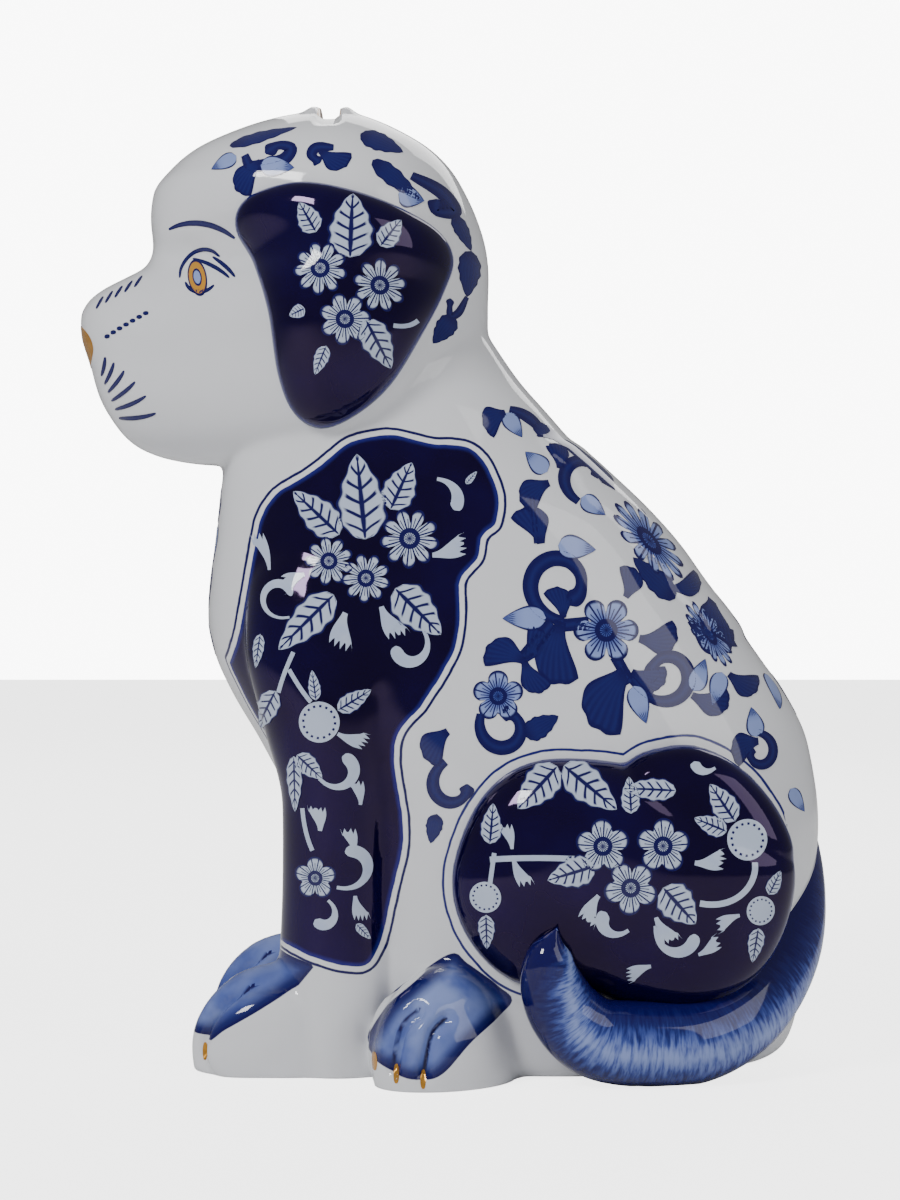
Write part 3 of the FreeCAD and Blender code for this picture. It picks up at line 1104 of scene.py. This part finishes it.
def glazed(name, paint, metallic=0, tint=None):
    material = bpy.data.materials.new(name)
    material.use_nodes = True
    tree = material.node_tree
    shader = tree.nodes["Principled BSDF"]
    tree.links.new(paint(tree), shader.inputs["Base Color"])
    shader.inputs["Roughness"].default_value = 0.22 if metallic else glaze["roughness"]
    shader.inputs["Specular IOR Level"].default_value = glaze["specular"]
    shader.inputs["Metallic"].default_value = metallic
    shader.inputs["Coat Weight"].default_value = glaze["coat"]
    shader.inputs["Coat Roughness"].default_value = glaze["coatRoughness"]
    if tint:
        tree.links.new(tint(tree), shader.inputs["Specular Tint"])
    return material


def cobaltColour(tree):
    stain = mottle(tree, 38)
    return blend(tree, stain, colours["deep"], colours["deepLight"])


def washColour(tree):
    soft = blend(tree, mottle(tree, 95), colours["light"], colours["wash"])
    return blend(tree, mottle(tree, 30), soft, colours["wash"])


def bodyPaint(tree):
    # the white body with its painted panel, haunch ring, paw washes and gilt slot, from the marked distances,
    # with painted shade darkening the toe grooves
    where = objectPlace(tree)
    wobble = calc(tree, "MULTIPLY", mottle(tree, 160), 0.25)
    panel = calc(tree, "ADD", attribute(tree, "panel"), wobble)
    colour = blend(tree, step(tree, panel, 0, 0.1), colours["body"], colours["ink"])
    colour = blend(tree, step(tree, panel, 0.65, 0.1), colour, colours["body"])
    colour = blend(tree, step(tree, panel, 1.8, 0.1), colour, colours["rim"])
    colour = blend(tree, step(tree, panel, 2.6, 0.5), colour, cobaltColour(tree))
    gap = calc(tree, "ADD", attribute(tree, "haunchGap"), wobble)
    ring = calc(tree, "SUBTRACT", step(tree, gap, 1.6, 0.1), step(tree, gap, 2.2, 0.1))
    colour = blend(tree, ring, colour, colours["rim"])
    wash = attribute(tree, "wash")
    colour = blend(tree, step(tree, wash, 0, 0.12), colour, colours["ink"])
    colour = blend(tree, step(tree, wash, 0.7, 0.3), colour, colours["mid"])
    colour = blend(tree, step(tree, wash, 2.6, 1.6), colour, washColour(tree))
    # painted shade: ink darkens the paw where the toe grooves lie
    furrowShade = calc(tree, "SUBTRACT", 1, step(tree, attribute(tree, "furrowShade"), 0.45, 0.3))
    colour = blend(tree, furrowShade, colour, colours["ink"])
    split = tree.nodes.new("ShaderNodeSeparateXYZ")
    tree.links.new(where, split.inputs[0])
    fromSlot = calc(tree, "ABSOLUTE", calc(tree, "SUBTRACT", split.outputs[0], coinSlot["x"] * mm))
    gilt = calc(tree, "LESS_THAN", fromSlot, (coinSlot["width"] / 2 + 0.3) * mm)
    gilt = calc(tree, "MULTIPLY", gilt, calc(tree, "GREATER_THAN", split.outputs[2], 0.218))
    across = calc(
        tree, "LESS_THAN", calc(tree, "ABSOLUTE", split.outputs[1]), (coinSlot["length"] / 2 + 0.3) * mm,
    )
    return blend(tree, calc(tree, "MULTIPLY", gilt, across), colour, colours["gold"])


def raisedCobalt(tree):
    return blend(tree, step(tree, attribute(tree, "rim"), 0.6, 0.6), colours["rim"], cobaltColour(tree))


def tailPaint(tree):
    # dark feathery strokes from both edges, a light middle
    around, along = attribute(tree, "around"), attribute(tree, "along")
    comb = tree.nodes.new("ShaderNodeCombineXYZ")
    tree.links.new(calc(tree, "MULTIPLY", along, 120), comb.inputs[0])
    tree.links.new(calc(tree, "MULTIPLY", around, 1.2), comb.inputs[1])
    streak = place(tree, stainGroup, Vector=comb.outputs[0], Scale=1.6)
    edge = calc(
        tree, "ADD", calc(tree, "ABSOLUTE", calc(tree, "ADD", around, 0.25)),
        calc(tree, "MULTIPLY", streak, 0.5),
    )
    colour = blend(tree, step(tree, edge, 0.35, 0.35), colours["light"], colours["wash"])
    colour = blend(tree, step(tree, edge, 0.7, 0.3), colour, colours["mid"])
    return blend(tree, step(tree, edge, 1.2, 0.3), colour, colours["ink"])


def reserveLeaf(tree):
    along, across, _ = flatPlace(tree)
    return blend(
        tree, place(tree, veinGroup, Along=along, Across=across, Count=6), colours["reserve"],
        colours["ink"],
    )


def reserveFlower(tree):
    along, _, turn = flatPlace(tree)
    return blend(tree, place(tree, petalGroup, Out=along, Turn=turn), colours["reserve"], colours["ink"])


def reserveBerry(tree):
    along, _, turn = flatPlace(tree)
    dots = calc(tree, "GREATER_THAN", calc(tree, "FRACT", turn), 0.6)
    dots = calc(tree, "MULTIPLY", dots, calc(tree, "COMPARE", along, 0.78, 0.06))
    return blend(tree, dots, colours["reserve"], colours["ink"])


def reservePlain(tree):
    stain = mottle(tree, 220)
    return blend(tree, calc(tree, "MULTIPLY", stain, 0.25), colours["reserve"], colours["light"])


def inkFan(tree):
    along, across, _ = flatPlace(tree)
    hatch = calc(tree, "SINE", calc(tree, "MULTIPLY", across, 22))
    hatch = calc(tree, "MULTIPLY", calc(tree, "ADD", hatch, 1), 0.35)
    colour = blend(tree, calc(tree, "MULTIPLY", hatch, along), colours["mid"], colours["ink"])
    edge = calc(
        tree, "MAXIMUM", step(tree, calc(tree, "ABSOLUTE", across), 0.86, 0.06),
        step(tree, along, 0.94, 0.03),
    )
    edge = calc(tree, "MAXIMUM", edge, calc(tree, "SUBTRACT", 1, step(tree, along, 0.18, 0.18)))
    return blend(tree, edge, colour, colours["ink"])


def inkBud(tree):
    along, across, _ = flatPlace(tree)
    colour = blend(tree, step(tree, along, 0.8, 0.35), colours["light"], colours["wash"])
    hatch = calc(tree, "GREATER_THAN", calc(tree, "SINE", calc(tree, "MULTIPLY", across, 20)), 0.35)
    hatch = calc(tree, "MULTIPLY", hatch, step(tree, along, 0.72, 0.06))
    edge = step(tree, calc(tree, "ABSOLUTE", across), 0.84, 0.07)
    return blend(tree, calc(tree, "MAXIMUM", edge, hatch), colour, colours["ink"])


def inkFlower(tree):
    along, _, turn = flatPlace(tree)
    colour = blend(tree, step(tree, along, 0.5, 0.4), colours["wash"], colours["light"])
    return blend(tree, place(tree, petalGroup, Out=along, Turn=turn), colour, colours["ink"])


def inkLine(tree):
    _, across, _ = flatPlace(tree)
    return blend(tree, step(tree, calc(tree, "ABSOLUTE", across), 0.3, 0.35), colours["mid"], colours["ink"])


def giltPaint(tree):
    return blend(tree, mottle(tree, 300), colours["gold"], (0.6, 0.3, 0.06))


def irisPaint(tree):
    along, _, _ = flatPlace(tree)
    colour = blend(tree, step(tree, along, 0.40, 0.04), colours["light"], colours["gold"])
    rings = calc(tree, "MAXIMUM", calc(tree, "COMPARE", along, 0.42, 0.06), step(tree, along, 0.86, 0.04))
    return blend(tree, rings, colour, colours["ink"])


def rubberPaint(tree):
    stain = mottle(tree, 400)
    return blend(tree, calc(tree, "MULTIPLY", stain, 0.2), colours["rubber"], (0.5, 0.5, 0.48))


def panelTint(tree):
    # cobalt mirrors the lights a little purple, the white body does not
    return blend(tree, step(tree, attribute(tree, "panel"), 1.8, 0.1), (1, 1, 1), colours["sheen"])


def domeTint(tree):
    return blend(tree, step(tree, attribute(tree, "rim"), 0.6, 0.6), (1, 1, 1), colours["sheen"])


bodyGlaze = glazed("painted_glaze", bodyPaint, tint=panelTint)
cobaltGlaze = glazed("cobalt_glaze", raisedCobalt, tint=domeTint)
tailGlaze = glazed("tail_glaze", tailPaint)
gilding = glazed("gilding", giltPaint, metallic=0.5)
reserves = {
    "leaf": glazed("reserve_leaf", reserveLeaf), "bud": glazed("reserve_stripe", reserveLeaf),
    "flower": glazed("reserve_flower", reserveFlower), "berry": glazed("reserve_berry", reserveBerry),
}
plain = glazed("reserve_plain", reservePlain)
reserves |= {kind: plain for kind in ("tuft", "hook", "stroke", "vine")}
inks = {
    "fan": glazed("ink_fan", inkFan), "bud": glazed("ink_bud", inkBud),
    "flower": glazed("ink_flower", inkFlower),
    "scroll": glazed("ink_line", inkLine), "disc": glazed("eye_iris", irisPaint),
}
inks["slantFlower"] = inks["flower"]
inks["leaf"] = inks["tuft"] = inks["fan"]
inks["stroke"] = inks["vine"] = inks["scroll"]
golds = {kind: gilding for kind in ("stroke", "vine", "leaf", "disc")}

# a bloom is heading, distance, radius, petals; a spray is heading, distance, length, half width
shoulderMarks = bouquet(
    (-19, 119),
    blooms=[(28, 11, 7, 9), (180, 9, 5.8, 9), (265, 4, 5.8, 9)],
    leaf=[(96, 5, 20, 6), (137, 9, 15, 4.3), (66, 13, 12, 4.2), (225, 11, 18, 4.4), (315, 9, 15, 5)],
    tuft=[(192, 15, 5, 2.2), (247, 13, 7, 2.8), (287, 11, 7, 2.6), (5, 15, 7, 2.5)],
)
shoulderMarks += bouquet(
    (-30, 82), [(0, 0, 4.7, 0)], leaf=[(32, 5, 9, 2.4), (98, 5, 7, 1.6)], tuft=[(328, 5, 6, 1.9)],
)
shoulderMarks += bouquet((-42, 116), leaf=[(262, 14, 8, 1.6)], tuft=[(96, 1, 8, 1.6)])
shoulderMarks += bouquet((-36, 97), leaf=[(242, 9, 11, 3)])
shoulderMarks += bouquet((3, 136), leaf=[(50, 1, 4, 0.9)])
shoulderMarks += [
    curl((-37, 106), 190, 19, -275, 1.6), curl((-3, 138), -10, 10, -120, 2.4),
    curl((-6, 103), -62, 15, -215, 2.4),
    curl((-36, 98), 245, 10, 10, 1, "vine"), curl((-37, 94), 300, 9, 10, 1, "vine"),
]
legMarks = bouquet((-31, 46), [(90, 0, 5, 5)], leaf=[(312, 14, 5, 1.2)], tuft=[(84, 11, 5, 2.1)])
legMarks += bouquet((-36, 75), leaf=[(-42, 1, 8, 2.7), (-89, 1, 13, 2.1)])
legMarks += bouquet((-22, 47), tuft=[(90, 5, 5, 1.7), (272, 5, 5, 1.8), (85, 16, 5, 1.6)])
legMarks += [
    curl((-34, 62), 275, 10, 20, 1, "vine"), curl((-30, 69), -45, 15, 215, 2.3),
    curl((-26, 44), -12, 17, 215, 2.3),
    curl((-28, 41), -40, 10, -200, 2),
]
earMarks = bouquet(
    (-23, 181),
    blooms=[(145, 8, 6.3, 9), (8, 7, 6.2, 9), (262, 7, 6, 7)],
    leaf=[
        (88, 7, 15, 5.5), (120, 15, 8, 3), (54, 12, 8, 2.8), (298, 8, 12, 3.9), (248, 14, 7, 1.9),
        (204, 11, 4, 1.8),
    ],
)
earMarks.append(curl((-13, 173), -5, 6, 50, 1, "vine"))
haunchMarks = bouquet(
    (41, 53),
    blooms=[(165, 7, 6.2, 5), (15, 7, 6.2, 5), (266, 7.5, 6.2, 5)],
    leaf=[(197, 9, 11, 3.8), (312, 10, 11, 4.5), (92, 9, 8, 2.4)],
    tuft=[(230, 12, 6, 2.2), (352, 14, 6, 2.3), (290, 15, 6, 2.1)],
)
haunchMarks += bouquet((25, 73), leaf=[(226, 1, 13, 4.2), (321, 1, 15, 4.4)])
haunchMarks += bouquet((8, 43), [(0, 0, 3.5, 0)], leaf=[(272, 4, 8, 2.1), (85, 12, 9, 2.6)])
haunchMarks += bouquet((14, 53), tuft=[(92, 1, 5, 1.6), (282, 1, 6, 1.7)])
haunchMarks += bouquet((67, 56), [(0, 0, 4.6, 0)], leaf=[(124, 5, 10, 3.3), (158, 5, 8, 2.5)])
haunchMarks += bouquet(
    (70, 40), [(0, 0, 3.3, 0)], leaf=[(62, 4, 6, 1.9), (262, 4, 8, 2.2)], tuft=[(190, 5, 5, 1.7)],
)
haunchMarks += bouquet((52, 67), leaf=[(178, 1, 12, 2.7)])
haunchMarks += bouquet((52, 29), tuft=[(20, 4, 5, 1.7), (190, 7, 5, 1.8)])
haunchMarks += [
    curl((28, 52), 178, 19, 8, 1.3, "vine"), curl((10, 53), 262, 7, 0, 1, "vine"),
    curl((56, 42), -10, 18, 105, 1.4, "vine"),
    curl((40, 36), 215, 10, -175, 2.4), curl((46, 37), 270, 15, 185, 2.3),
    curl((60, 72), 215, 6, -120, 1.9),
]
flankMarks = bouquet((26, 106), fan=[(88, 0, 7, 2.6), (248, 1, 14, 4.4)], bud=[(181, 4, 10, 3.1)])
flankMarks += bouquet((21, 123), fan=[(98, 0, 9, 3.4)], bud=[(-6, 4, 9, 3.1)])
flankMarks += bouquet((17, 96), fan=[(146, 0, 9, 3.3), (284, 0, 8, 2.7), (45, 0, 8, 2.5)])
flankMarks += bouquet((36, 103), [(0, 0, 7.7, 6)], fan=[(58, 9, 7, 2.7), (-14, 8, 9, 3.3)])
flankMarks += bouquet((41, 94), fan=[(222, 0, 15, 5.2), (-32, 1, 8, 2.8)], bud=[(288, 4, 9, 2.7)])
flankMarks += bouquet((11, 88), [(18, 0, 5.9, 5)], fan=[(215, 14, 8, 3.2)])
flankMarks += bouquet((17, 79), leaf=[(30, 0, 9, 2.7)])
flankMarks += bouquet((-3, 61), leaf=[(258, 0, 7, 2)])
flankMarks += bouquet((56, 88), fan=[(-32, 0, 9, 2.9)], bud=[(66, 1, 8, 2.6)])
flankMarks += bouquet(
    (25, 138), fan=[(200, 2, 8, 3.1), (78, 3, 6, 2.3)], bud=[(138, 3, 7, 2.6), (-35, 7, 7, 2.4)],
)
flankMarks += bouquet((13, 154), fan=[(198, 0, 6, 3)], bud=[(304, 0, 7, 2.3)], leaf=[(-22, 7, 8, 1.8)])
flankMarks += bouquet((72, 77), fan=[(184, 0, 7, 3)], bud=[(100, 1, 7, 2.5), (-55, 14, 7, 1.9)])
flankMarks += bouquet((50, 113), fan=[(-50, 10, 12, 3.6), (-4, 2, 8, 2.5)], leaf=[(136, -4, 14, 2.8)])
flankMarks += bouquet((64, 94), fan=[(-44, 2, 8, 2.7)], bud=[(250, 1, 8, 2.5)])
flankMarks += [
    curl((26, 105), 165, 37, -330, 2.2, "scroll"), curl((45, 88), -30, 29, 325, 2, "scroll"),
    curl((7, 84), 258, 24, 300, 1.9, "scroll"), curl((-1, 73), 216, 19, 245, 1.8, "scroll"),
    curl((30, 133), 145, 20, -240, 1.8, "scroll"), curl((14, 155), -12, 11, -60, 1.7, "scroll"),
    curl((72, 79), -15, 17, -290, 1.5, "scroll"), curl((24, 104), 5, 8, 0, 3, "vine"),
    curl((38, 97), 300, 7, 0, 2.6, "vine"),
    curl((17, 97), 50, 10, 0, 3, "vine"), curl((42, 92), -50, 6, 20, 2.6, "vine"),
    curl((19, 134), 275, 11, 0, 1.2, "vine"),
    ("slantFlower", (47, 124), 12, 12, -49, 0.42), ("slantFlower", (61, 102), 9, 12, -56, 0.4),
]
crownMarks = [
    ("scroll", [(-48, 214), (-46, 211), (-39, 212), (-37, 215), (-40, 216), (-43, 214)], 1.9),
    ("fan", (-44, 212), (-51, 207), 2.8), ("bud", (-44, 211), (-36, 210), 2.8),
    ("bud", (-50, 214), (-56, 211), 2.3),
    ("leaf", (-52, 217), (-36, 221), 1.8), ("scroll", [(-27, 215), (-31, 215), (-32, 213), (-30, 211)], 1.6),
    ("fan", (-30, 214), (-25, 209), 2.6), ("leaf", (-21, 219), (-11, 215), 2.8),
    ("leaf", (-18, 212), (-7, 203), 2.4),
    ("bud", (-12, 204), (-6, 203), 3),
    ("scroll", [(-9, 209), (-2, 206), (1, 202), (-3, 201), (-3, 204)], 2.2),
    ("leaf", (1, 201), (5, 193), 2), ("leaf", (5, 193), (4, 182), 2.8), ("leaf", (1, 177), (-4, 170), 2.4),
    ("scroll", [(4, 182), (2, 178), (0, 177), (0, 181)], 1),
]
faceMarks = [
    arc((-58.5, 187.3), 5.6, 190, 40, 1), arc((-58.5, 186.5), 4.2, 200, 320, 1),
    arc((-62, 181), 18, 106, 50, 1.3),
    curl((-56, 191), -35, 8, -20, 1, "stroke"), curl((-61, 191), -20, 11, -25, 1, "stroke"),
]
for i in range(6):
    faceMarks.append(curl((-84 + 0.8 * i, 164 - 2 * i), 62 - 14 * i, 4.5 + 1.1 * i, 25, 1.05, "stroke"))
for i in range(5):
    faceMarks.append(curl((-85 + 2.4 * i, 180 + 1.2 * i), 63, 3.4, 0, 0.8, "stroke"))
freckles = {"middle": (-77, 175.5), "heading": 27, "length": 11, "count": 7, "width": 1}
for reach in np.linspace(-0.5, 0.5, freckles["count"]) * freckles["length"]:
    spot = polar(freckles["middle"], freckles["heading"], reach)
    faceMarks.append(curl((spot[0] - 0.7, spot[1]), 0, 1.4, 0, freckles["width"], "stroke"))
irisMark = [("disc", (-59.5, 186), 4.7, 0.5, 0.2)]
pawGilt = [("stroke", [(-57, 7), (-57, 3)], 1.2)]
hindGilt = [("stroke", [(x, z), (x, z - 4)], 1.3) for x, z in ((-17, 8), (-12, 6), (-6, 5))]
backMarks = [("fan", (-22, 137), (-14, 146), 5)]
backMarks += [
    ("fan", (-18, 110), (-27, 103), 4), ("bud", (-15, 92), (-21, 84), 3), ("leaf", (-8, 92), (-4, 82), 3),
]
chestMarks = [
    ("fan", (-6, 137), (-9, 130), 3), ("bud", (-9, 128), (-8, 119), 2.6),
    ("leaf", (-8, 118), (-7, 108), 2.6),
    ("fan", (-5, 104), (-9, 98), 2.4), ("scroll", [(-3, 128), (-3, 120), (-5, 114), (-3, 110)], 1.6),
]


def targetOf(piece):
    return treeOf(piece), readPoints(piece), readNormals(piece), piece.data


print("scene: painting the marks")
skinTarget = (skinTree, skinPoints, skinNormals, skin.data)
layers = {}
for side, name in ((-1, "left"), (1, "right")):
    earTarget, haunchTarget = targetOf(ears[side]), targetOf(haunches[side])
    jobs = [
        ("shoulder_print", shoulderMarks, "side", skinTarget, reserves, name + "_foreleg"),
        ("leg_print", legMarks, "side", skinTarget, reserves, name + "_foreleg"),
        ("ear_print", earMarks, "side", earTarget, reserves, name + "_ear"),
        ("haunch_print", haunchMarks, "side", haunchTarget, reserves, name + "_haunch"),
        ("flank_vine", flankMarks, "side", skinTarget, inks, "torso_casting"),
        ("crown_vine", crownMarks, "side", skinTarget, inks, "head_casting"),
        ("face_lines", faceMarks, "side", skinTarget, inks, "head_casting"),
        ("eye_iris", irisMark, "side", skinTarget, inks, "head_casting"),
        ("paw_gilt", pawGilt, "side", skinTarget, golds, name + "_foreleg"),
        ("claw_gilt", hindGilt, "side", skinTarget, golds, name + "_hind_paw"),
        ("back_vine", backMarks, "back", skinTarget, inks, "torso_casting"),
        ("chest_vine", chestMarks, "front", skinTarget, inks, "torso_casting"),
    ]
    for label, marks, view, target, paints, node in jobs:
        layers[name + "_" + label] = paintMarks(name + "_" + label, marks, view, target, side, paints)
spineMarks = [("flower", (0, 103), 9, 12, 15), ("fan", (0, 91), (0, 82), 3.5)]
layers["spine_bloom"] = paintMarks("spine_bloom", spineMarks, "back", skinTarget, 1, inks)
noseLine = [("disc", (0, 172), 5.2, 2.5, 0)]
layers["nose_gilt"] = paintMarks("nose_gilt", noseLine, "front", skinTarget, 1, golds)

for piece in castings.values():
    piece.data.materials.clear()
    piece.data.materials.append(bodyGlaze)
for piece in [*ears.values(), *haunches.values()]:
    piece.data.materials.append(cobaltGlaze)
tailRoll.data.materials.append(tailGlaze)
stopper = bpy.data.objects["rubber_stopper"]
stopperRubber = glazed("stopper_rubber", rubberPaint)
rubberShader = stopperRubber.node_tree.nodes["Principled BSDF"].inputs
rubberShader["Roughness"].default_value = 0.55
rubberShader["Coat Weight"].default_value = 0
stopper.data.materials.clear()
stopper.data.materials.append(stopperRubber)
bpy.data.objects.remove(skin)

for node, piece in castings.items():
    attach(piece, "figure")
    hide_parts(node)
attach(tailRoll, "figure")
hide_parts("tail")
for side, name in ((-1, "left"), (1, "right")):
    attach(ears[side], "figure")
    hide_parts(name + "_ear")
    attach(haunches[side], "figure")
    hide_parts(name + "_haunch")
for layer in layers.values():
    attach(layer, "figure")


stage = {
    "cameraDistance": 650,
    "cameraHeight": 110,
    "lens": 79.3,
    "floorGlow": 3.2,
    "backdrop": 9.0,
    "worldStrength": 0.24,
}


def cameraOnly(tree, strength):
    # a glow that the camera sees and that lights nothing
    return calc(tree, "MULTIPLY", tree.nodes.new("ShaderNodeLightPath").outputs[0], strength)


deselectAll()
bpy.ops.mesh.primitive_plane_add(size=6.0, location=(0, 0, 0))
floor = bpy.context.active_object
floor.name = "studio_floor"
floorPaint = bpy.data.materials.new("floor_paint")
floorPaint.use_nodes = True
floorShader = floorPaint.node_tree.nodes["Principled BSDF"].inputs
floorShader["Base Color"].default_value = (0.9, 0.9, 0.9, 1)
floorShader["Emission Color"].default_value = (1, 1, 1, 1)
floorPaint.node_tree.links.new(
    cameraOnly(floorPaint.node_tree, stage["floorGlow"]), floorShader["Emission Strength"],
)
floorShader["Roughness"].default_value = 0.6
floor.data.materials.append(floorPaint)

def softbox(name, place, target, size, power):
    light = bpy.data.lights.new(name, "AREA")
    light.shape = "RECTANGLE"
    light.size, light.size_y = size
    light.energy = power
    lamp = bpy.data.objects.new(name, light)
    bpy.context.collection.objects.link(lamp)
    lamp.location = Vector(place)
    lamp.rotation_euler = (Vector(target) - Vector(place)).to_track_quat("-Z", "Y").to_euler()
    return lamp


softboxes = {
    # place in metres, size and power
    "key_softbox": ((-0.7, -0.8, 0.9), (0.32, 0.32), 11.0),
    "fill_softbox": ((0.9, -0.6, 0.6), (0.6, 0.8), 4.0),
    "back_softbox": ((0.2, 0.9, 0.8), (0.8, 0.5), 4.0),
}
for name, (where, size, power) in softboxes.items():
    softbox(name, where, (0, 0, 0.12), size, power)

world = bpy.data.worlds.new("studio")
bpy.context.scene.world = world
world.use_nodes = True
world.node_tree.nodes["Background"].inputs["Color"].default_value = (1, 1, 1, 1)
# the camera sees a lit white room, the clay gets a soft dim one
room = calc(world.node_tree, "ADD", cameraOnly(world.node_tree, stage["backdrop"]), stage["worldStrength"])
world.node_tree.links.new(room, world.node_tree.nodes["Background"].inputs["Strength"])

cameraData = bpy.data.cameras.new("camera")
cameraData.lens = stage["lens"]
camera = bpy.data.objects.new("camera", cameraData)
bpy.context.collection.objects.link(camera)
camera.location = (0, -stage["cameraDistance"] * mm, stage["cameraHeight"] * mm)
camera.rotation_euler = (math.radians(90), 0, 0)
bpy.context.scene.camera = camera
